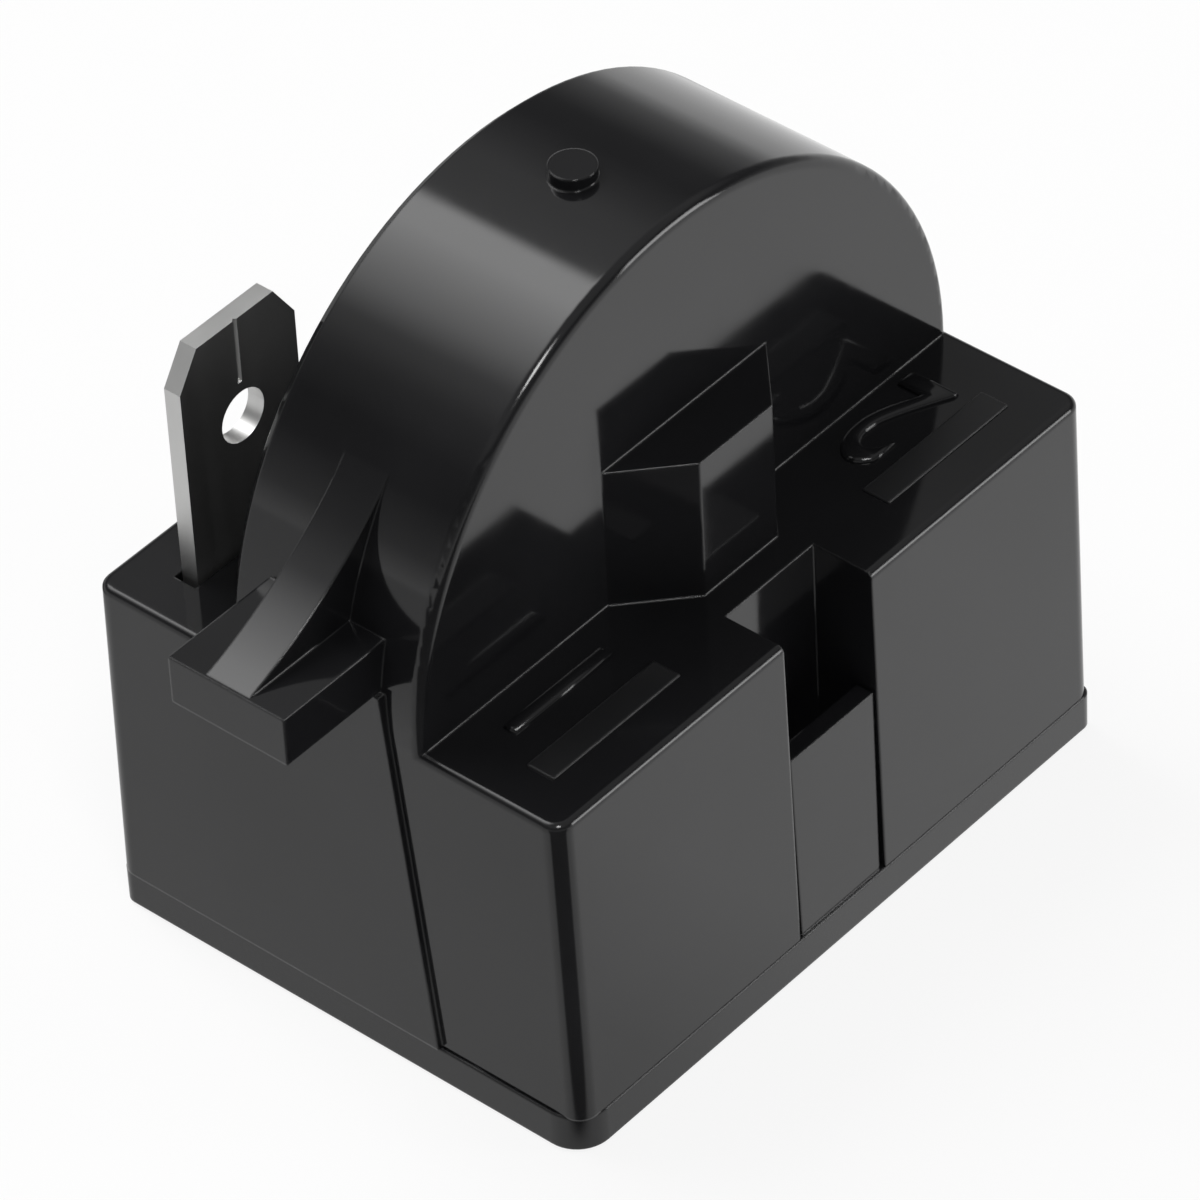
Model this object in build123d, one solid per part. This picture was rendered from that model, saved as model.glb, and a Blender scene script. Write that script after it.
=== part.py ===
"""Plug-on start relay for a small refrigeration compressor.

Frame in millimetres: X runs along the line of the two compressor pins, -Y is the front with the
open channel, +Z is up. The origin lies on the flat underside, midway between the two pin holes.
"""
from build123d import *
import math
import os

# Thermistor pill
pill_diameter = 20.0
pill_thickness = 2.6

# Compressor pins and the sockets that take them
pin_diameter = 3.2
pin_spacing = 12.7
socket_wall = 0.6
socket_length = 7.2
socket_slit = 0.7
clip_thickness = 0.4
clip_slit = 1.6

# Clearances
loose_fit = 0.15
close_fit = 0.1
clip_fit = 0.05
clip_to_contact = 0.45
pill_air = 0.5

# Dome over the pill
dome_skin = 2.0
dome_air = 3.4
dome_end_wall = 1.55
spring_room = 1.9
dome_shift = 0.05
dome_edge = 0.45
pill_rise = 2.0
fin_width = 1.2
fin_angle = 35.0
fin_reach = 2.6

# Box under the dome
shoulder_depth = 6.65
end_draft = 0.3
flange_step = 0.03
corner_radius = 0.8
edge_round = 0.3
wall_thickness = 1.8
ceiling_thickness = 1.8
cavity_corner = 0.8

# Pad on the left wall, behind a slanted step and under the arm
pad_step = 0.25
pad_lean = 1.7

# Arm and its gusset on the left side of the dome
arm_reach = 4.95
arm_width = 5.65
arm_thickness = 2.2
arm_height = 2.1
gusset_width = 2.15
gusset_start = 0.15
gusset_rise = 5.2
gusset_sag = 0.6

# Wedge-shaped rib on the front of the dome
rib_base_width = 9.5
rib_front_width = 4.2
rib_depth = 2.5
rib_height = 6.45

# Snap channels front and rear, and the tongues in them
channel_width = 5.15
channel_depth = 2.8
channel_wall = 1.3
tongue_height = 8.95
tongue_thickness = 0.8
tongue_top_slit = 0.12
tongue_foot_slit = 0.24
tongue_set_back = 0.1
catch_height = 4.0
catch_thickness = 1.6
catch_gap = 0.35
barb_reach = 0.7
barb_height = 1.6

# Base cover
cover_thickness = 1.8
cover_edge = 0.15
flange_edge = 0.06
flange_corner = 0.6
flange_near_corner = 1.5
rim_height = 1.5
rim_thickness = 1.2
pin_hole_diameter = 3.8
pin_hole_lead = 0.7
collar_height = 1.7
collar_wall = 1.0
cradle_length = 4.4
cradle_wall = 0.8
cradle_grip = 1.2
post_length = 3.0
post_width = 1.7

# Leaf contacts on the two faces of the pill
leaf_thickness = 0.3
leaf_width = 5.0
leaf_span = 6.0
leaf_end = 0.9
foot_past_rivet = 1.7

# Quick-connect tab and the strap behind it
tab_width = 6.3
tab_thickness = 0.8
tab_height = 10.7
tab_tip_side = 1.05
tab_tip_drop = 1.6
tab_hole_diameter = 2.3
tab_hole_drop = 4.6
tab_seam_width = 0.16
tab_seam_depth = 0.1
tab_seam_length = 3.0
tab_to_wall = 0.45
tab_to_dome = 3.9
tab_stop_width = 1.6
tab_stop_height = 2.0
strap_height = 3.0
strap_bend = 1.0
strap_air = 0.3
strap_side_air = 0.7
strap_overlap = 3.8

# Rivet that joins the strap to the rear leaf contact
rivet_shank = 1.6
rivet_head = 2.4
rivet_head_height = 0.5

# Round mark on the crown of the dome
pip_diameter = 1.9
pip_height = 0.5
pip_x = -0.3
pip_y = -0.1

# Sizes that follow from the ones above
pill_radius = pill_diameter / 2
pin_x = pin_spacing / 2
socket_bore = pin_diameter / 2
socket_radius = socket_bore + socket_wall
socket_top = cover_thickness + socket_length
pill_side_drop = math.sqrt(pill_radius**2 - (pin_x - socket_radius) ** 2)
pill_z = socket_top + pill_air + pill_side_drop
shoulder_z = pill_z - pill_rise
dome_radius = pill_radius + dome_air + dome_skin
chamber_radius = dome_radius - dome_skin
chamber_depth = pill_thickness + 2 * spring_room
dome_length = chamber_depth + 2 * dome_end_wall
right_top = dome_radius + dome_shift
left_side = dome_shift - dome_radius
flange_half_width = right_top + flange_step
pad_x = left_side - pad_step
top_half_depth = dome_length / 2 + shoulder_depth
base_half_depth = top_half_depth + end_draft
flange_half_depth = base_half_depth + flange_step
body_height = shoulder_z - cover_thickness
ceiling_z = shoulder_z - ceiling_thickness
channel_back = top_half_depth - channel_depth
cavity_half_width = right_top - wall_thickness
cavity_half_depth = top_half_depth - wall_thickness
arm_bottom = shoulder_z + arm_height
arm_top = arm_bottom + arm_thickness
arm_outer = left_side - arm_reach
tab_y = dome_length / 2 + tab_to_dome
tab_left = tab_to_wall - cavity_half_width
tab_x = tab_left + tab_width / 2
strap_bottom = socket_top - strap_height
clip_foot = cover_thickness + collar_height + clip_fit
clip_height = strap_bottom - clip_to_contact - clip_foot
leaf_root_y = socket_radius + leaf_thickness / 2
strap_last_y = socket_radius + leaf_thickness + tab_thickness / 2
strap_far_x = cavity_half_width - strap_side_air - tab_thickness / 2
rivet_x = strap_far_x - strap_bend - close_fit - rivet_head / 2


def wall_box(x_low, x_high, y_low, y_high, z_low, z_high):
    """Box given by its faces."""
    size = (x_high - x_low, y_high - y_low, z_high - z_low)
    centre = ((x_low + x_high) / 2, (y_low + y_high) / 2, (z_low + z_high) / 2)
    return Pos(*centre) * Box(*size)


def front_slope(z):
    """Distance from the pin line to the drafted front wall at height z."""
    return base_half_depth - end_draft * (z - cover_thickness) / body_height


def upright_edges(block):
    """The edges of a block that run from its foot to its top."""
    height = block.bounding_box().size.Z
    return block.edges().filter_by(lambda edge: edge.bounding_box().size.Z > height / 2)


def drafted_block(left):
    """Box of the housing with drafted ends, rounded corners and a rounded top edge."""
    ends = Polyline(
        (-base_half_depth, cover_thickness),
        (-top_half_depth, shoulder_z),
        (top_half_depth, shoulder_z),
        (base_half_depth, cover_thickness),
        close=True,
    )
    block = Pos(left, 0, 0) * extrude(make_face(Plane.YZ * ends), right_top - left, dir=(1, 0, 0))
    block = fillet(upright_edges(block), radius=corner_radius)
    return fillet(block.edges().group_by(Axis.Z)[-1], radius=edge_round)


def pad_region():
    """Everything behind the slanted line on the left wall, up to the underside of the arm."""
    front = -dome_length / 2
    rear = flange_half_depth + wall_thickness
    outline = Polyline(
        (front, cover_thickness),
        (front + pad_lean, arm_bottom),
        (rear, arm_bottom),
        (rear, cover_thickness),
        close=True,
    )
    face = make_face(Plane.YZ * outline)
    return Pos(pad_x - wall_thickness, 0, 0) * extrude(face, 2 * dome_radius, dir=(1, 0, 0))


def arm_pad():
    """Part of the pad that rises past the shoulder, up to the underside of the arm."""
    slab = wall_box(pad_x, left_side + dome_skin, -dome_length / 2, arm_width / 2, ceiling_z, arm_bottom)
    return slab & pad_region()


def dome():
    """Half-round dome with rounded rims, carried on down into the box."""
    crown = (dome_shift, shoulder_z + dome_radius)
    arch = ThreePointArc((left_side, shoulder_z), crown, (right_top, shoulder_z))
    root = Polyline(
        (right_top, shoulder_z), (right_top, ceiling_z), (left_side, ceiling_z), (left_side, shoulder_z)
    )
    section = make_face(Plane.XZ * (Curve() + [arch, root]))
    block = extrude(section, dome_length / 2, dir=(0, 1, 0), both=True)
    front_rim = block.edges().group_by(Axis.Y)[0].sort_by(Axis.Z)[1:]
    block = fillet(front_rim, radius=dome_edge)
    rear_rim = block.edges().group_by(Axis.Y)[-1].sort_by(Axis.Z)[1:]
    return chamfer(rear_rim, length=dome_edge)


def arm():
    """Square arm that stands out from the dome's left side."""
    return wall_box(arm_outer, left_side + dome_skin, -arm_width / 2, arm_width / 2, arm_bottom, arm_top)


def gusset():
    """Hollow-backed web that rises from the arm to the dome."""
    foot = (arm_outer + gusset_start, arm_top)
    crest_z = arm_top + gusset_rise
    crest = (dome_shift - math.sqrt(dome_radius**2 - (crest_z - shoulder_z) ** 2), crest_z)
    run = math.hypot(crest[0] - foot[0], crest[1] - foot[1])
    across = ((crest[1] - foot[1]) / run, -(crest[0] - foot[0]) / run)
    middle = (
        (foot[0] + crest[0]) / 2 + gusset_sag * across[0],
        (foot[1] + crest[1]) / 2 + gusset_sag * across[1],
    )
    inner_x = left_side + dome_skin
    curve = ThreePointArc(foot, middle, crest)
    sunk_z = arm_top - arm_thickness / 2
    legs = Polyline(crest, (inner_x + dome_skin, crest_z - dome_skin), (inner_x, sunk_z))
    toe = Polyline((inner_x, sunk_z), (foot[0], sunk_z), foot)
    face = make_face(Plane.XZ * (Curve() + [curve, legs, toe]))
    return extrude(face, gusset_width / 2, dir=(0, 1, 0), both=True)


def wedge_rib():
    """Rib of trapezoid plan on the dome's front face, standing on the shoulder."""
    face_y = -dome_length / 2
    outline = Polyline(
        (-rib_base_width / 2, face_y),
        (-rib_front_width / 2, face_y - rib_depth),
        (rib_front_width / 2, face_y - rib_depth),
        (rib_base_width / 2, face_y),
        (rib_base_width / 2, face_y + dome_end_wall / 2),
        (-rib_base_width / 2, face_y + dome_end_wall / 2),
        close=True,
    )
    foot_z = ceiling_z + ceiling_thickness / 2
    return extrude(Pos(0, 0, foot_z) * make_face(outline), shoulder_z + rib_height - foot_z)


def crown_pip():
    """Low round mark on top of the dome."""
    crown_z = shoulder_z + dome_radius
    low = crown_z - dome_skin / 2
    height = crown_z + pip_height - low
    return Pos(pip_x, pip_y, low + height / 2) * Cylinder(pip_diameter / 2, height)


def cavity():
    """Room inside the box, with walls kept round the two snap channels."""
    room = Pos(0, 0, (cover_thickness + ceiling_z) / 2) * Box(
        2 * cavity_half_width, 2 * cavity_half_depth, ceiling_z - cover_thickness
    )
    room = fillet(room.edges().filter_by(Axis.Z), radius=cavity_corner)
    core_half = channel_width / 2 + channel_wall
    for side in (-1, 1):
        core_y = channel_back - channel_wall
        core = wall_box(-core_half, core_half, core_y, flange_half_depth, 0, shoulder_z)
        room -= core if side > 0 else mirror(core, about=Plane.XZ)
    return room


def pill_chamber():
    """Round room in the dome for the pill and its two leaf contacts."""
    drum = Pos(dome_shift, 0, shoulder_z) * Rot(90, 0, 0) * Cylinder(chamber_radius, chamber_depth)
    top_z = 2 * dome_radius + shoulder_z
    upper = wall_box(-dome_radius, dome_radius, -chamber_depth, chamber_depth, shoulder_z, top_z)
    half_y = chamber_depth / 2
    low_z = ceiling_z - ceiling_thickness
    neck = wall_box(-cavity_half_width, cavity_half_width, -half_y, half_y, low_z, shoulder_z)
    left = dome_shift - chamber_radius
    right = dome_shift + chamber_radius
    narrow = wall_box(left, right, -chamber_depth, chamber_depth, 0, shoulder_z)
    return (drum & upper) + (neck & narrow)


def pill_fin(angle):
    """Fin inside the dome that stops the pill from rising."""
    start = pill_radius + close_fit
    block = Pos(0, 0, start + fin_reach / 2) * Box(fin_width, pill_thickness, fin_reach)
    return Pos(0, 0, pill_z) * Rot(0, angle, 0) * block


def snap_channel():
    """Channel in the front wall, open to the front and to the top, with its catch bar left in."""
    half = channel_width / 2
    front = -flange_half_depth - wall_thickness
    slot = wall_box(-half, half, front, -channel_back, 0, 2 * shoulder_z)
    catch_front = -(front_slope(catch_top()) - tongue_set_back - tongue_thickness - catch_gap)
    bar = wall_box(-half, half, catch_front, -channel_back, catch_top() - catch_thickness, catch_top())
    return slot - bar


def catch_top():
    """Height of the ledge that the tongue's barb hooks over."""
    return cover_thickness + catch_height + catch_thickness


def tab_slot():
    """Slot in the rear ledge for the tab."""
    width = tab_width + 4 * loose_fit
    depth = tab_thickness + 2 * loose_fit
    return Pos(tab_x, tab_y, shoulder_z) * Box(width, depth, 4 * ceiling_thickness)


def housing():
    """One moulding: box, dome, arm with gusset, wedge rib and snap channels."""
    shell = drafted_block(left_side)
    shell += drafted_block(pad_x) & pad_region()
    shell += dome() + arm_pad()
    shell += wedge_rib()
    shell += arm() + gusset() + crown_pip()
    shell -= cavity()
    shell -= pill_chamber()
    for angle in (-fin_angle, fin_angle):
        shell += pill_fin(angle)
    channel = snap_channel()
    shell -= channel
    shell -= mirror(channel, about=Plane.XZ)
    shell -= tab_slot()
    return shell


def snap_tongue():
    """Springy tongue of the base cover that closes the lower part of the front channel."""
    foot_z = cover_thickness - cover_edge
    top_z = cover_thickness + tongue_height
    foot_width = channel_width - 2 * tongue_foot_slit
    top_width = channel_width - 2 * tongue_top_slit
    foot_y = -(front_slope(cover_thickness) - tongue_set_back - tongue_thickness / 2)
    top_y = -(front_slope(top_z) - tongue_set_back - tongue_thickness / 2)
    foot = Pos(0, foot_y, foot_z) * Rectangle(foot_width, tongue_thickness)
    top = Pos(0, top_y, top_z) * Rectangle(top_width, tongue_thickness)
    blade = loft(Sketch() + [foot, top])
    barb_z = catch_top() + close_fit
    inner_y = -(front_slope(barb_z) - tongue_set_back - tongue_thickness)
    outline = Polyline(
        (inner_y - tongue_thickness / 2, barb_z),
        (inner_y + barb_reach, barb_z),
        (inner_y, barb_z + barb_height),
        (inner_y - tongue_thickness / 2, barb_z + barb_height),
        close=True,
    )
    barb = extrude(make_face(Plane.YZ * outline), foot_width / 2 - loose_fit, dir=(1, 0, 0), both=True)
    return blade + barb


def cover_plate():
    """Flat plate that shows as the flange at the foot of the housing."""
    plate = Box(2 * flange_half_width, 2 * flange_half_depth, cover_thickness)
    plate = Pos(0, 0, cover_thickness / 2) * plate
    near = upright_edges(plate).sort_by(lambda edge: edge.center().X + edge.center().Y)
    plate = fillet(near[1:], radius=flange_corner)
    near = upright_edges(plate).sort_by(lambda edge: edge.center().X + edge.center().Y)
    plate = fillet(near[0], radius=flange_near_corner)
    plate = chamfer(plate.edges().group_by(Axis.Z)[0], length=cover_edge)
    return chamfer(plate.edges().group_by(Axis.Z)[-1], length=flange_edge)


def cover_rim():
    """Low wall on the cover that centres the housing."""
    half_x = cavity_half_width - loose_fit
    half_y = cavity_half_depth - loose_fit
    mid_z = cover_thickness + rim_height / 2
    outer = Box(2 * half_x, 2 * half_y, rim_height)
    inner = Box(2 * (half_x - rim_thickness), 2 * (half_y - rim_thickness), rim_height)
    rim = Pos(0, 0, mid_z) * (fillet(outer.edges().filter_by(Axis.Z), radius=cavity_corner) - inner)
    gap_half = channel_width / 2 + channel_wall + loose_fit
    return rim - Pos(0, 0, mid_z) * Box(2 * gap_half, 3 * half_y, 2 * rim_height)


def pill_cradle():
    """Post with a curved groove that carries the pill's lower rim."""
    half_y = pill_thickness / 2 + close_fit + cradle_wall
    top_z = pill_z - pill_radius + cradle_grip
    block = wall_box(-cradle_length / 2, cradle_length / 2, -half_y, half_y, cover_thickness, top_z)
    groove = Pos(0, 0, pill_z) * Rot(90, 0, 0) * Cylinder(pill_radius, pill_thickness + 2 * close_fit)
    return block - groove


def strap_post(x, y):
    """Post on the cover that holds the strap up."""
    return Pos(x, y, (cover_thickness + strap_bottom) / 2) * Box(
        post_length, post_width, strap_bottom - cover_thickness
    )


def base_cover():
    """Flat base that plugs onto the compressor, with its collars, cradle, posts and tongues."""
    cover = cover_plate()
    cover += cover_rim() + pill_cradle()
    cover += strap_post(tab_x, tab_y) + strap_post(pin_x, strap_run_y())
    collar_z = cover_thickness + collar_height / 2
    collar_outer = socket_radius + close_fit + collar_wall
    for x in (-pin_x, pin_x):
        cover += Pos(x, 0, collar_z) * Cylinder(collar_outer, collar_height)
        cover -= Pos(x, 0, collar_z) * Cylinder(socket_radius + close_fit, collar_height)
        cover -= Pos(x, 0, cover_thickness / 2) * Cylinder(pin_hole_diameter / 2, cover_thickness)
        wide = pin_hole_diameter / 2 + pin_hole_lead
        cover -= Pos(x, 0, pin_hole_lead / 2) * Cone(wide, pin_hole_diameter / 2, pin_hole_lead)
    tongue = snap_tongue()
    cover += tongue
    cover += mirror(tongue, about=Plane.XZ)
    return cover


def ptc_pill():
    """Thermistor disc standing on edge."""
    return Pos(0, 0, pill_z) * Rot(90, 0, 0) * Cylinder(pill_radius, pill_thickness)


def pin_socket(x, slit_side):
    """Rolled sleeve that grips one compressor pin."""
    sleeve = Cylinder(socket_radius, socket_length) - Cylinder(socket_bore, socket_length)
    sleeve -= Pos(slit_side * socket_radius, 0, 0) * Box(3 * socket_wall, socket_slit, socket_length)
    return Pos(x, 0, cover_thickness + socket_length / 2) * sleeve


def socket_clip(x, slit_side):
    """Open steel ring that keeps the socket closed on the pin."""
    inner = socket_radius + clip_fit
    ring = Cylinder(inner + clip_thickness, clip_height) - Cylinder(inner, clip_height)
    ring -= Pos(slit_side * inner, 0, 0) * Box(4 * clip_thickness, clip_slit, clip_height)
    return Pos(x, 0, clip_foot + clip_height / 2) * ring


def leaf(x):
    """Bowed strip on the front of the pill, fixed to the pin socket at its root."""
    low = (-leaf_root_y, pill_z - leaf_span)
    crest = (-pill_thickness / 2 - leaf_thickness / 2, pill_z)
    high = (-leaf_root_y, pill_z + leaf_span)
    root = Line((-leaf_root_y, strap_bottom), low)
    bow = ThreePointArc(low, crest, high)
    tail = Line(high, (-leaf_root_y, pill_z + leaf_span + leaf_end))
    section = trace(Curve() + [root, bow, tail], line_width=leaf_thickness)
    return Pos(x, 0, 0) * extrude(Plane.YZ * section, leaf_width / 2, dir=(1, 0, 0), both=True)


def start_contact():
    """Leaf contact from the start pin to the front face of the pill."""
    return leaf(-pin_x)


def main_contact():
    """Leaf contact on the rear face of the pill, with a foot for the strap's rivet."""
    rear_leaf = mirror(leaf(pin_x), about=Plane.XZ)
    y_low = socket_radius
    foot_end = rivet_x + foot_past_rivet
    foot = wall_box(pin_x, foot_end, y_low, y_low + leaf_thickness, strap_bottom, socket_top)
    hole = Pos(rivet_x, y_low, strap_bottom + strap_height / 2) * Rot(90, 0, 0) * Cylinder(
        rivet_shank / 2 + clip_fit, 4 * leaf_thickness
    )
    return rear_leaf + foot - hole


def strap_run_y():
    """Line of the strap's long run, clear of the rear snap channel."""
    return channel_back - channel_wall - strap_air - tab_thickness / 2


def strap():
    """Bent strip from the tab round the rear of the box to the rear contact's foot."""
    tab_right = tab_x + tab_width / 2
    jog_x = -(channel_width / 2 + channel_wall + strap_air)
    path = FilletPolyline(
        (tab_left, tab_y),
        (tab_right, tab_y),
        (jog_x, strap_run_y()),
        (strap_far_x, strap_run_y()),
        (strap_far_x, strap_last_y),
        (strap_far_x - strap_overlap, strap_last_y),
        radius=strap_bend,
    )
    strip = extrude(Pos(0, 0, strap_bottom) * trace(path, line_width=tab_thickness), strap_height)
    hole = Pos(rivet_x, strap_last_y, strap_bottom + strap_height / 2) * Rot(90, 0, 0) * Cylinder(
        rivet_shank / 2 + clip_fit, 2 * tab_thickness
    )
    return strip - hole


def tab_blade():
    """Flat blade with chamfered tip, hole, closed seam and a stop under the ledge."""
    top_z = shoulder_z + tab_height
    right = tab_left + tab_width
    stop_z = ceiling_z - loose_fit
    outline = Polyline(
        (tab_left, strap_bottom),
        (tab_left, top_z - tab_tip_drop),
        (tab_left + tab_tip_side, top_z),
        (right - tab_tip_side, top_z),
        (right, top_z - tab_tip_drop),
        (right, stop_z),
        (right + tab_stop_width, stop_z),
        (right + tab_stop_width, stop_z - tab_stop_height),
        (right, stop_z - tab_stop_height),
        (right, strap_bottom),
        close=True,
    )
    plate = extrude(make_face(Plane.XZ * outline), tab_thickness / 2, dir=(0, 1, 0), both=True)
    blade = Pos(0, tab_y, 0) * plate
    hole_z = top_z - tab_hole_drop
    bore = Rot(90, 0, 0) * Cylinder(tab_hole_diameter / 2, 2 * tab_thickness)
    blade -= Pos(tab_x, tab_y, hole_z) * bore
    front_y = tab_y - tab_thickness / 2
    seam = Pos(tab_x, front_y, top_z - tab_seam_length / 2) * Rot(0, 0, 45) * Box(
        tab_seam_width, tab_seam_width, tab_seam_length
    )
    return blade - (seam & wall_box(tab_left, right, front_y, front_y + tab_seam_depth, 0, top_z))


def tab_terminal():
    """Quick-connect tab and strap, folded from one strip."""
    return tab_blade() + strap()


def terminal_rivet():
    """Rivet through the strap and the foot of the rear contact."""
    inner_y = socket_radius
    outer_y = strap_last_y + tab_thickness / 2
    z = strap_bottom + strap_height / 2
    turn = Rot(90, 0, 0)
    shank = Pos(rivet_x, (inner_y + outer_y) / 2, z) * turn * Cylinder(rivet_shank / 2, outer_y - inner_y)
    head = turn * Cylinder(rivet_head / 2, rivet_head_height)
    inner_head = Pos(rivet_x, inner_y - rivet_head_height / 2, z) * head
    outer_head = Pos(rivet_x, outer_y + rivet_head_height / 2, z) * head
    return shank + inner_head + outer_head


def all_pieces():
    """Every physical piece, by node name."""
    return {
        "housing": housing(),
        "base_cover": base_cover(),
        "ptc_pill": ptc_pill(),
        "start_contact": start_contact(),
        "main_contact": main_contact(),
        "start_pin_socket": pin_socket(-pin_x, -1),
        "main_pin_socket": pin_socket(pin_x, 1),
        "start_socket_clip": socket_clip(-pin_x, 1),
        "main_socket_clip": socket_clip(pin_x, -1),
        "tab_terminal": tab_terminal(),
        "terminal_rivet": terminal_rivet(),
    }


os.makedirs("parts", exist_ok=True)
for name, piece in all_pieces().items():
    piece.label = name
    export_step(piece, "parts/" + name + ".step")
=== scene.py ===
"""Dresses the compressor start relay and sets its studio."""

import math

import bmesh
import bpy
from bpy.props import FloatProperty, FloatVectorProperty, PointerProperty
from mathutils import Matrix, Vector


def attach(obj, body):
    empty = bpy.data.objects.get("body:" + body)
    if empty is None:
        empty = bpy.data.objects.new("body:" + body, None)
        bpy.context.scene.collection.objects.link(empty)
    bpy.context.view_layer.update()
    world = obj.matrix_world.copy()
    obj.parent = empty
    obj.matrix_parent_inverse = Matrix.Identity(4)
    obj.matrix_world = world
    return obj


bl_info = {
    "name": "Start Relay",
    "version": (1, 0, 0),
    "blender": (4, 5, 0),
    "location": "View3D > Sidebar > Relay",
    "description": "Dresses a compressor start relay and sets its studio",
    "category": "Object",
}

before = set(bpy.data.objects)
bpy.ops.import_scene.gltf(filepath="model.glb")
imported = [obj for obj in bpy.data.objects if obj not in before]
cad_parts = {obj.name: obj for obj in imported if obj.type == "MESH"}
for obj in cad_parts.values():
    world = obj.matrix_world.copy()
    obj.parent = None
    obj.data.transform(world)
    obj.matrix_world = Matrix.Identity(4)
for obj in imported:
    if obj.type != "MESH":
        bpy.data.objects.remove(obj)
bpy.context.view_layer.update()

BODY = "root"
MM = 0.001

# Raised marks
CAP_SHARE = 0.7  # height of a digit as a share of its font size
WELD = 0.01 * MM  # points of a digit that lie closer than this are made one

# Grain of rolled metal, as the scale of its noise along X, Y and Z
TAB_GRAIN = (1.0, 1.0, 0.05)
INNER_GRAIN = (1.0, 1.0, 0.1)

# Floor. Its patches of painted shade are given in millimetres from the middle of the relay.
FLOOR_GAP = 0.02 * MM  # how far the floor lies below the relay
REACH = 100 * MM  # stretch of floor that a ramp covers
LEFT_BORDER = (15.0, 16.0)  # the near corner's dark patch of painted shade starts here to the left
NEAR_BORDER = (11.2, 12.2)  # and here to the front
REAR_BORDER = (26.0, 34.0)  # the dark patch of painted shade behind the relay starts here to the rear
REAR_WIDTH = ((-40, 0.0), (-20, 1.0), (40, 1.0), (50, 0.0))  # and fades like this from left to right
PAINTED_GLOW_TILT = ((-14, 0.66), (-9, 0.70), (0, 0.92), (20, 1.0))  # painted brightness of the mirrored glow from left to right

# Sky. Heights are sines of the angle above the horizon.
HAZE_HEIGHT = 0.13
HAZE_SHARE = 0.42  # brightness of the haze as a share of the horizon's
DARK_BAND = (0.36, 0.5)
LIGHT_HEIGHT = 0.72

# Long soft panel in the sky behind the relay
PANEL_WIDTH = (  # brightness from the left, at -1, to the right, at 1
    (-0.56, 0.0), (-0.40, 0.08), (-0.27, 0.42), (0.03, 1.0), (0.15, 1.0), (0.20, 0.08), (0.60, 0.0),
)
PANEL_HEIGHT = (0.55, 0.7)  # its soft lower border
PANEL_DEPTH = (0.2, 0.4)  # its soft front border, from the middle, at 0, to the rear, at 1

# Camera
SENSOR = 36.0
CLIP = (10 * MM, 20000 * MM)


def length(name, description, default):
    """A size in metres, given here in millimetres."""
    return FloatProperty(
        name=name, description=description, default=default * MM, unit="LENGTH", precision=5
    )


def spot(name, description, default):
    """A point in metres, given here in millimetres."""
    point = tuple(part * MM for part in default)
    return FloatVectorProperty(
        name=name, description=description, default=point, size=3, subtype="TRANSLATION", unit="LENGTH"
    )


def share(name, description, default):
    """A number from nought to one."""
    return FloatProperty(
        name=name, description=description, default=default, min=0.0, max=1.0, subtype="FACTOR"
    )


def colour(name, description, default):
    """A colour in linear light."""
    return FloatVectorProperty(
        name=name, description=description, default=default, size=3, subtype="COLOR", min=0.0, max=1.0
    )


def angle(name, description, default):
    """An angle, given here in degrees."""
    return FloatProperty(
        name=name, description=description, default=math.radians(default), subtype="ANGLE"
    )


def power(name, description, default):
    """The power of a lamp in watts."""
    return FloatProperty(name=name, description=description, default=default, min=0.0, unit="POWER")


class RelaySizes(bpy.types.PropertyGroup):
    """Sizes of what the scene adds to the relay."""

    edge: length("Edge rounding", "Radius that the moulding's sharp edges seem to have", 0.14)
    numeral_height: length("Numeral height", "Height of a raised pin number", 5.4)
    numeral_rise: length("Numeral rise", "How far a pin number stands up", 0.20)
    numeral_round: length("Numeral rounding", "Radius round the edges of a pin number", 0.18)
    numeral_thin: share("Numeral thinning", "Share of the rounding that a stroke is thinned by", 1 / 3)
    numeral_slim: share("Numeral width", "Width of a pin number against a plain one", 0.62)
    numeral_shift: length("Numeral shift", "How far both numbers stand to the right of their plates", 0.5)
    plate_length: length("Plate length", "Length of a bare raised plate", 7.2)
    plate_width: length("Plate width", "Width of a bare raised plate", 1.3)
    plate_rise: length("Plate rise", "How far a bare plate stands up", 0.08)
    mark_x: length("Mark place across", "Distance of a mark from the middle", 9.7)
    numeral_y: length("Numeral place", "Distance of a number in front of the pin line", 6.4)
    plate_y: length("Plate place", "Distance of a plate in front of the pin line", 8.75)
    shoulder: length("Shoulder height", "Height of the front shoulder", 16.598)


class RelayColours(bpy.types.PropertyGroup):
    """Colours and finishes of the relay."""

    plastic: colour("Plastic", "Black of the moulding", (0.007, 0.007, 0.0077))
    plastic_polish: share("Plastic roughness", "Roughness of the polished moulding", 0.09)
    plate_polish: share("Plate roughness", "Roughness of the bare plates", 0.38)
    tin: colour("Tin", "Tin plating of the tab", (0.80, 0.80, 0.79))
    tin_polish: share("Tin roughness", "Roughness of the tin plating", 0.36)
    brass: colour("Brass", "Rolled brass of the sockets", (0.72, 0.52, 0.24))
    brass_polish: share("Brass roughness", "Roughness of the sockets", 0.28)
    steel: colour("Steel", "Spring steel of the clips and leaves", (0.58, 0.58, 0.57))
    steel_polish: share("Steel roughness", "Roughness of the clips and leaves", 0.26)
    pill: colour("Pill", "Fired thermistor body", (0.30, 0.29, 0.27))
    pill_polish: share("Pill roughness", "Roughness of the pill's smoothest spots", 0.6)


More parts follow.
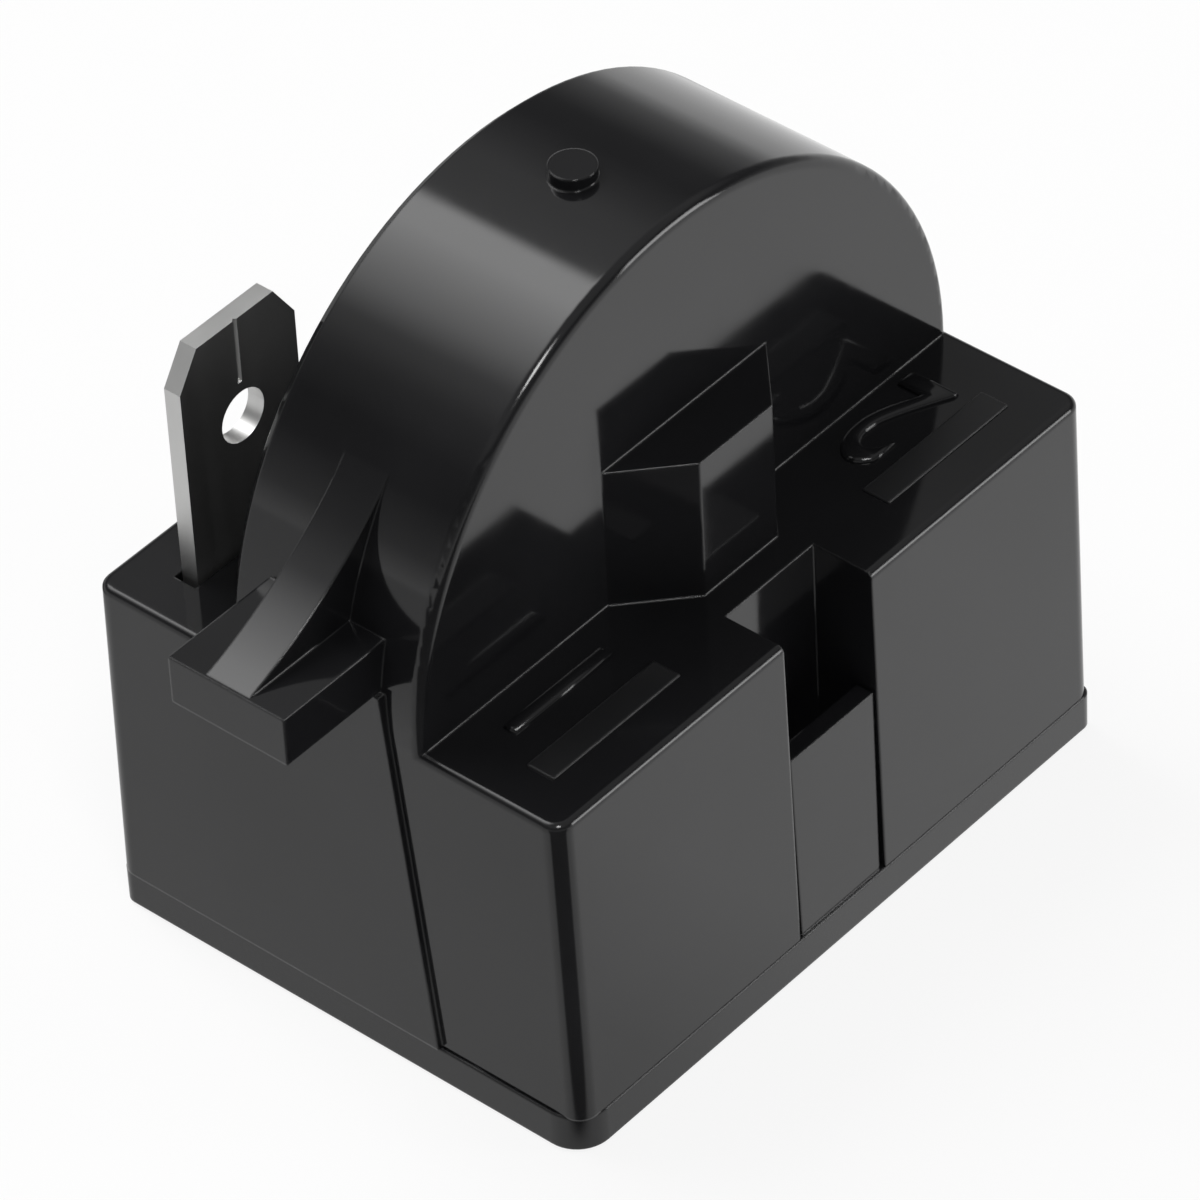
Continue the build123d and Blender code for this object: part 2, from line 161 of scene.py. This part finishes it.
class StudioSettings(bpy.types.PropertyGroup):
    """Camera, floor, sky and lamps."""

    turn: angle("Camera turn", "Camera angle round the relay", -47.42)
    rise: angle("Camera rise", "Camera angle above the floor", 41.43)
    roll: angle("Camera roll", "Camera tilt about its own axis", -3.225)
    reach: length("Camera reach", "Distance from the aim point", 325.96)
    aim: spot("Aim point", "Point the camera looks at", (-1.49, -1.34, 12.73))
    lens: FloatProperty(name="Lens", description="Focal length in mm on a 36 mm sensor", default=257.94)
    floor_colour: colour("Floor", "Colour of the floor", (0.90, 0.90, 0.90))
    floor_glow: share("Floor glow", "Share of the floor that shows as plain white", 0.86)
    floor_size: length("Floor size", "Width of the floor", 6000.0)
    # Painted shade: how much of the mirrored floor glow is blacked out in front of the near corner
    near_shade: share("Near shade", "Share of the mirrored glow missing in front of the near corner", 0.85)
    # Painted shade: how much of the mirrored floor glow is blacked out behind the relay
    rear_shade: share("Rear shade", "Share of the mirrored glow missing behind the relay", 0.8)
    sky_low: share("Low light", "Brightness round the horizon", 0.90)
    sky_middle: share("Middle light", "Brightness of the dark band above the horizon", 0.10)
    sky_high: share("High light", "Brightness overhead", 0.36)
    panel: FloatProperty(name="Panel", description="Brightness of the sky's panel", default=4.0, min=0.0)
    lamp_target: spot("Lamp target", "Point that every lamp faces", (0, 0, 15))
    key_place: spot("Key lamp place", "Middle of the key lamp, above and behind", (-60, 300, 480))
    key_width: length("Key lamp width", "Width of the key lamp", 300)
    key_power: power("Key lamp power", "Power of the key lamp", 0.9)
    fill_place: spot("Fill lamp place", "Middle of the fill lamp, low in front", (470, -680, 200))
    fill_width: length("Fill lamp width", "Width of the fill lamp", 300)
    fill_power: power("Fill lamp power", "Power of the fill lamp", 1.6)
    front_place: spot("Front lamp place", "Middle of the lamp above the camera", (-210, -280, 600))
    front_width: length("Front lamp width", "Width of the lamp above the camera", 150)
    front_power: power("Front lamp power", "Power of the lamp above the camera", 1.3)


class Wire:
    """A shader socket that takes part in sums, so that a mask reads like a formula."""

    def __init__(self, tree, socket):
        self.tree = tree
        self.socket = socket

    def maths(self, operation, first, second):
        return self.tree.node("ShaderNodeMath", {"operation": operation}, {0: first, 1: second})

    def __add__(self, other):
        return self.maths("ADD", self, other)

    __radd__ = __add__

    def __mul__(self, other):
        return self.maths("MULTIPLY", self, other)

    __rmul__ = __mul__

    def __sub__(self, other):
        return self.maths("SUBTRACT", self, other)

    def __rsub__(self, other):
        return self.maths("SUBTRACT", other, self)


class Tree:
    """The node tree of a material or of the world."""

    def __init__(self, owner):
        owner.use_nodes = True
        self.nodes = owner.node_tree.nodes
        self.links = owner.node_tree.links
        self.nodes.clear()

    def node(self, kind, settings, values, output=0):
        """Adds one node, with its settings first and then the values or links of its sockets."""
        made = self.nodes.new(kind)
        for name, setting in settings.items():
            if name == "stops":
                self.set_stops(made.color_ramp, setting)
            else:
                setattr(made, name, setting)
        for name, value in values.items():
            if isinstance(value, Wire):
                self.links.new(value.socket, made.inputs[name])
            else:
                made.inputs[name].default_value = value
        return Wire(self, made.outputs[output]) if made.outputs else made

    def set_stops(self, ramp, stops):
        """Gives a ramp its stops, each a place and a grey."""
        while len(ramp.elements) < len(stops):
            ramp.elements.new(1.0)
        for element, (place, grey) in zip(ramp.elements, stops):
            element.position = place
            element.color = (grey, grey, grey, 1.0)

    def place(self):
        """Object coordinates of the surface."""
        return self.node("ShaderNodeTexCoord", {}, {}, "Object")

    def ray(self, kind):
        """One for rays of this kind and nought for all others."""
        return self.node("ShaderNodeLightPath", {}, {}, kind)

    def noise(self, scale, detail=2.0, roughness=0.5, place=None):
        """Soft noise, with its scale in waves per metre, over the surface or over a place that is given."""
        place = place or self.place()
        values = {"Vector": place, "Scale": scale, "Detail": detail, "Roughness": roughness}
        return self.node("ShaderNodeTexNoise", {}, values)

    def ramp(self, factor, stops):
        """A grey ramp over a factor."""
        return self.node("ShaderNodeValToRGB", {"stops": stops}, {"Fac": factor})

    def step(self, factor, start, end):
        """Nought up to the start and one past the end."""
        return self.ramp(factor, [(start, 0.0), (end, 1.0)])

    def along(self, vector, axis):
        """How far a vector reaches along an axis."""
        values = {0: vector, 1: axis}
        return self.node("ShaderNodeVectorMath", {"operation": "DOT_PRODUCT"}, values, "Value")

    def blend(self, factor, first, second):
        """Mixes two colours. The node's colour sockets are 6 and 7, and its colour output is 2."""
        values = {0: factor, 6: first, 7: second}
        return self.node("ShaderNodeMix", {"data_type": "RGBA"}, values, 2)

    def bump(self, height, strength, distance, normal=None):
        """Bump from a height, with its distance in metres, over the surface or over another normal."""
        values = {"Height": height, "Strength": strength, "Distance": distance}
        if normal:
            values["Normal"] = normal
        return self.node("ShaderNodeBump", {}, values)

    def soft_edge(self, radius, samples=6):
        """Normal that turns round sharp edges as if they had this radius."""
        return self.node("ShaderNodeBevel", {"samples": samples}, {"Radius": radius})

    def mix_shaders(self, factor, first, second):
        """Mixes two shaders."""
        return self.node("ShaderNodeMixShader", {}, {0: factor, 1: first, 2: second})

    def surface(self, shader):
        """Links a shader to the output of a material."""
        self.node("ShaderNodeOutputMaterial", {}, {"Surface": shader})

    def principled(self, values):
        """Gives a material a Principled surface."""
        self.surface(self.node("ShaderNodeBsdfPrincipled", {}, values))


def rgba(shade, gain=1.0):
    """A colour of four numbers, scaled by a gain."""
    return (min(shade[0] * gain, 1.0), min(shade[1] * gain, 1.0), min(shade[2] * gain, 1.0), 1.0)


def moulded_plastic(name, shade, polish, edge):
    """Polished black moulding with softened edges, faint flow marks and handling haze."""
    material = bpy.data.materials.new(name)
    tree = Tree(material)
    flow = tree.step(tree.noise(scale=90.0, detail=3.0), 0.35, 0.7)
    haze = tree.noise(scale=600.0, detail=4.0, roughness=0.6)
    haze_spread, flow_spread, below_polish = 0.08, 0.03, 0.05
    ripple = tree.noise(scale=260.0, detail=1.0)
    tree.principled({
        "Base Color": tree.blend(flow, rgba(shade, gain=0.85), rgba(shade, gain=1.5)),
        "Roughness": haze * haze_spread + flow * flow_spread + (polish - below_polish),
        "Normal": tree.bump(ripple, strength=0.05, distance=0.04 * MM, normal=tree.soft_edge(edge)),
        "IOR": 1.5,
    })
    return material


def bright_metal(name, shade, polish, grain):
    """Rolled metal with a fine grain along one direction."""
    material = bpy.data.materials.new(name)
    tree = Tree(material)
    stretched = tree.node("ShaderNodeMapping", {}, {"Vector": tree.place(), "Scale": grain})
    lines = tree.noise(scale=900.0, detail=3.0, place=stretched)
    cloud = tree.noise(scale=350.0, detail=3.0)
    line_spread, below_polish = 0.16, 0.06
    tree.principled({
        "Base Color": tree.blend(cloud, rgba(shade, gain=0.88), rgba(shade, gain=1.06)),
        "Roughness": lines * line_spread + (polish - below_polish),
        "Metallic": 1.0,
        "Normal": tree.bump(lines, strength=0.12, distance=0.02 * MM),
    })
    return material


def fired_ceramic(name, shade, polish):
    """Matt fired body of the thermistor pill."""
    material = bpy.data.materials.new(name)
    tree = Tree(material)
    speck = tree.noise(scale=2500.0, detail=4.0, roughness=0.7)
    speck_spread = 0.2
    spots = tree.step(speck, 0.4, 0.65)
    tree.principled({
        "Base Color": tree.blend(spots, rgba(shade, gain=0.8), rgba(shade, gain=1.15)),
        "Roughness": speck * speck_spread + polish,
        "Normal": tree.bump(speck, strength=0.2, distance=0.03 * MM),
    })
    return material


def give(material, *objects):
    """Puts one material in every slot of the objects."""
    for obj in objects:
        if not obj.data.materials:
            obj.data.materials.append(material)
        for slot in obj.material_slots:
            slot.material = material


def add_object(name, made, material):
    """Makes an object at the origin from a bmesh, in one material."""
    mesh = bpy.data.meshes.new(name)
    made.to_mesh(mesh)
    made.free()
    added = bpy.data.objects.new(name, mesh)
    bpy.context.scene.collection.objects.link(added)
    give(material, added)
    return added


def add_piece(name, made, material):
    """Makes an object from a bmesh and rides it on the body."""
    piece = add_object(name, made, material)
    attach(piece, BODY)


class RELAY_OT_mouldings(bpy.types.Operator):
    """Give the housing and the base cover their polished plastic"""

    bl_idname = "relay.mouldings"
    bl_label = "Dress the mouldings"

    def execute(self, context):
        colours = context.scene.relay_colours
        edge = context.scene.relay_sizes.edge
        plastic = moulded_plastic("black_moulding", colours.plastic, colours.plastic_polish, edge)
        give(plastic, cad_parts["housing"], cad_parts["base_cover"])
        return {"FINISHED"}


class RELAY_OT_dress(bpy.types.Operator):
    """Give the tab and every hidden piece of the relay its own finish"""

    bl_idname = "relay.dress"
    bl_label = "Dress the metal and the pill"

    def execute(self, context):
        colours = context.scene.relay_colours
        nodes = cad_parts
        tin = bright_metal("tinned_strip", colours.tin, colours.tin_polish, TAB_GRAIN)
        give(tin, nodes["tab_terminal"])
        brass = bright_metal("rolled_brass", colours.brass, colours.brass_polish, INNER_GRAIN)
        give(brass, nodes["start_pin_socket"], nodes["main_pin_socket"], nodes["terminal_rivet"])
        steel = bright_metal("spring_steel", colours.steel, colours.steel_polish, INNER_GRAIN)
        give(steel, nodes["start_contact"], nodes["main_contact"])
        give(steel, nodes["start_socket_clip"], nodes["main_socket_clip"])
        ceramic = fired_ceramic("thermistor_body", colours.pill, colours.pill_polish)
        give(ceramic, nodes["ptc_pill"])
        return {"FINISHED"}


class RELAY_OT_marks(bpy.types.Operator):
    """Raise the pin numbers and the bare plates on the front shoulder"""

    bl_idname = "relay.marks"
    bl_label = "Raise the marks"

    def execute(self, context):
        sizes = context.scene.relay_sizes
        colours = context.scene.relay_colours
        plastic = bpy.data.materials["black_moulding"]
        matt = moulded_plastic("matt_moulding", colours.plastic, colours.plate_polish, sizes.edge)
        for side, number in ((-1, "1"), (1, "2")):
            x = side * sizes.mark_x
            place = Matrix.Translation((x + sizes.numeral_shift, -sizes.numeral_y, sizes.shoulder))
            numeral = self.numeral(context, number, place)
            add_piece("pin_number_" + number, numeral, plastic)
            place = Matrix.Translation((x, -sizes.plate_y, sizes.shoulder))
            plate = self.plate(sizes, place)
            add_piece("bare_plate_" + number, plate, matt)
        return {"FINISHED"}

    def numeral(self, context, number, place):
        """Number with round edges, its lower half sunk in the shoulder."""
        sizes = context.scene.relay_sizes
        curve = bpy.data.curves.new("numeral_" + number, "FONT")
        curve.body = number
        curve.align_x, curve.align_y = "CENTER", "CENTER"
        curve.size = sizes.numeral_height / CAP_SHARE
        curve.extrude = sizes.numeral_rise - sizes.numeral_round
        curve.bevel_depth = sizes.numeral_round
        curve.bevel_resolution = 2
        curve.offset = -sizes.numeral_round * sizes.numeral_thin
        holder = bpy.data.objects.new("numeral_holder", curve)
        context.scene.collection.objects.link(holder)
        context.view_layer.update()
        mesh = bpy.data.meshes.new_from_object(holder.evaluated_get(context.evaluated_depsgraph_get()))
        bpy.data.objects.remove(holder)
        made = bmesh.new()
        made.from_mesh(mesh)
        bmesh.ops.remove_doubles(made, verts=made.verts, dist=WELD)
        turn = Matrix.Rotation(math.radians(90), 4, "Z")
        slim = Matrix.Diagonal((sizes.numeral_slim, 1.0, 1.0, 1.0))
        bmesh.ops.transform(made, matrix=place @ turn @ slim, verts=made.verts)
        bmesh.ops.recalc_face_normals(made, faces=made.faces)
        for face in made.faces:
            face.smooth = True
        return made

    def plate(self, sizes, place):
        """Bare plate with bevelled edges, its lower half sunk in the shoulder."""
        made = bmesh.new()
        bmesh.ops.create_cube(made, size=1.0)
        scale = Matrix.Diagonal((sizes.plate_length, sizes.plate_width, 2 * sizes.plate_rise, 1.0))
        bmesh.ops.transform(made, matrix=place @ scale, verts=made.verts)
        edges = made.edges[:]
        offset = sizes.plate_rise / 2
        bmesh.ops.bevel(
            made, geom=edges, offset=offset, affect="EDGES", segments=2, profile=0.5, material=-1
        )
        return made


class RELAY_OT_studio(bpy.types.Operator):
    """Set the floor, the lamps, the sky and the camera"""

    bl_idname = "relay.studio"
    bl_label = "Set the studio"

    def execute(self, context):
        studio = context.scene.relay_studio
        self.floor(studio)
        self.world(context.scene, studio)
        self.lamp("key_softbox", studio, studio.key_place, studio.key_width, studio.key_power, False)
        self.lamp("fill_softbox", studio, studio.fill_place, studio.fill_width, studio.fill_power, True)
        self.lamp("front_softbox", studio, studio.front_place, studio.front_width, studio.front_power, True)
        self.camera(context.scene, studio)
        context.scene.view_settings.view_transform = "Standard"
        return {"FINISHED"}

    def floor(self, studio):
        """Pale floor that shows as white and keeps a soft shadow."""
        made = bmesh.new()
        bmesh.ops.create_grid(made, x_segments=1, y_segments=1, size=studio.floor_size / 2)
        bmesh.ops.translate(made, vec=(0, 0, -FLOOR_GAP), verts=made.verts)
        add_object("studio_floor", made, self.floor_finish(studio))

    def floor_finish(self, studio):
        """Matt floor for light and shadow, and a glow that the camera and the polished walls see, with
        painted shade in what the walls mirror: darker to the left, and dark patches before the near corner
        and behind the relay.
        """
        material = bpy.data.materials.new("studio_floor")
        tree = Tree(material)
        matt = tree.node("ShaderNodeBsdfDiffuse", {}, {"Color": rgba(studio.floor_colour)})
        # Black that the painted shade patches show in the polished walls' reflections
        dark = tree.node("ShaderNodeBsdfDiffuse", {}, {"Color": (0, 0, 0, 1)})
        glow = tree.node("ShaderNodeEmission", {}, {"Color": (1, 1, 1, 1), "Strength": 1.0})
        # Painted shade: a dark patch in front of the near corner, seen only in the polished walls'
        # reflections
        near_painted_shade = self.past(tree, (-1, 0, 0), LEFT_BORDER) * self.past(tree, (0, -1, 0), NEAR_BORDER)
        # Painted shade: a dark patch behind the relay, seen only in the polished walls' reflections
        rear_painted_shade = self.past(tree, (0, 1, 0), REAR_BORDER) * self.across(tree, REAR_WIDTH)
        near_light = 1 - near_painted_shade * studio.near_shade
        rear_light = 1 - rear_painted_shade * studio.rear_shade
        # Painted reflection: the glow that the walls mirror is darker to the left
        missing = 1 - self.across(tree, PAINTED_GLOW_TILT) * near_light * rear_light
        mirrored = tree.ray("Is Glossy Ray")
        seen = tree.mix_shaders(mirrored * missing, glow, dark)
        share_seen = tree.ray("Is Camera Ray") * studio.floor_glow + mirrored
        tree.surface(tree.mix_shaders(share_seen, matt, seen))
        return material

    def past(self, tree, axis, border):
        """One past a soft border on the floor and nought before it, with the border along an axis."""
        way = tree.along(tree.place(), [part / REACH for part in axis])
        start, end = (edge * MM / REACH for edge in border)
        return tree.step(way, start, end)

    def across(self, tree, stops):
        """Grey over the floor from left to right, with the middle of the relay at the ramp's middle."""
        way = tree.along(tree.place(), (1 / REACH, 0, 0)) + 0.5
        return tree.ramp(way, [(0.5 + stop * MM / REACH, grey) for stop, grey in stops])

    def world(self, scene, studio):
        """White for the camera, and a sky with a dark band and a soft panel for everything else."""
        sky = bpy.data.worlds.new("studio")
        scene.world = sky
        tree = Tree(sky)
        direction = tree.node("ShaderNodeTexCoord", {}, {}, "Generated")
        height = tree.along(direction, (0, 0, 1))
        bands = [
            (0.0, studio.sky_low),
            (HAZE_HEIGHT, studio.sky_low * HAZE_SHARE),
            *((edge, studio.sky_middle) for edge in DARK_BAND),
            (LIGHT_HEIGHT, studio.sky_high),
            (1.0, studio.sky_high),
        ]
        dome = tree.ramp(height, bands)
        across = tree.along(direction, (0.5, 0, 0)) + 0.5
        strip = tree.ramp(across, [(0.5 + 0.5 * stop, grey) for stop, grey in PANEL_WIDTH])
        behind = tree.along(direction, (0, 1, 0))
        window = tree.step(height, *PANEL_HEIGHT) * tree.step(behind, *PANEL_DEPTH)
        light = strip * window * studio.panel + dome
        shade = tree.blend(tree.ray("Is Camera Ray"), light, (1, 1, 1, 1))
        background = tree.node("ShaderNodeBackground", {}, {"Color": shade, "Strength": 1.0})
        tree.node("ShaderNodeOutputWorld", {}, {"Surface": background})

    def lamp(self, name, studio, place, width, watts, mirrored):
        """A square softbox that faces the lamp target, and shows in reflections or doesn't."""
        light = bpy.data.lights.new(name, "AREA")
        light.shape = "SQUARE"
        light.size = width
        light.energy = watts
        holder = bpy.data.objects.new(name, light)
        holder.location = place
        holder.rotation_mode = "QUATERNION"
        holder.rotation_quaternion = (studio.lamp_target - place).to_track_quat("-Z", "Y")
        holder.visible_glossy = mirrored
        bpy.context.scene.collection.objects.link(holder)

    def camera(self, scene, studio):
        """Camera at the photograph's viewing angle."""
        data = bpy.data.cameras.new("studio_camera")
        data.lens = studio.lens
        data.sensor_width = SENSOR
        data.clip_start, data.clip_end = CLIP
        turn, rise, roll = studio.turn, studio.rise, studio.roll
        back = Vector((math.sin(turn) * math.cos(rise), -math.cos(turn) * math.cos(rise), math.sin(rise)))
        right = Vector((math.cos(turn), math.sin(turn), 0.0))
        up = back.cross(right)
        tilted_right = math.cos(roll) * right + math.sin(roll) * up
        tilted_up = math.cos(roll) * up - math.sin(roll) * right
        holder = bpy.data.objects.new("studio_camera", data)
        place = studio.aim + back * studio.reach
        axes = Matrix((tilted_right, tilted_up, back)).transposed().to_4x4()
        holder.matrix_world = Matrix.Translation(place) @ axes
        scene.collection.objects.link(holder)
        scene.camera = holder


class RELAY_PT_panel(bpy.types.Panel):
    """Lists the steps that dress the relay"""

    bl_idname = "RELAY_PT_panel"
    bl_label = "Start relay"
    bl_space_type = "VIEW_3D"
    bl_region_type = "UI"
    bl_category = "Relay"

    def draw(self, context):
        for step in STEPS:
            self.layout.operator(step.bl_idname)
        for group in (context.scene.relay_sizes, context.scene.relay_colours, context.scene.relay_studio):
            box = self.layout.box()
            for name in group.__annotations__:
                box.prop(group, name)


STEPS = (RELAY_OT_mouldings, RELAY_OT_dress, RELAY_OT_marks, RELAY_OT_studio)
CLASSES = (RelaySizes, RelayColours, StudioSettings, *STEPS, RELAY_PT_panel)


def register():
    for made in CLASSES:
        bpy.utils.register_class(made)
    bpy.types.Scene.relay_sizes = PointerProperty(type=RelaySizes)
    bpy.types.Scene.relay_colours = PointerProperty(type=RelayColours)
    bpy.types.Scene.relay_studio = PointerProperty(type=StudioSettings)


def unregister():
    del bpy.types.Scene.relay_studio
    del bpy.types.Scene.relay_colours
    del bpy.types.Scene.relay_sizes
    for made in reversed(CLASSES):
        bpy.utils.unregister_class(made)


def main():
    """Runs every step in order."""
    register()
    bpy.ops.relay.mouldings()
    bpy.ops.relay.dress()
    bpy.ops.relay.marks()
    bpy.ops.relay.studio()


if __name__ == "__main__":
    main()
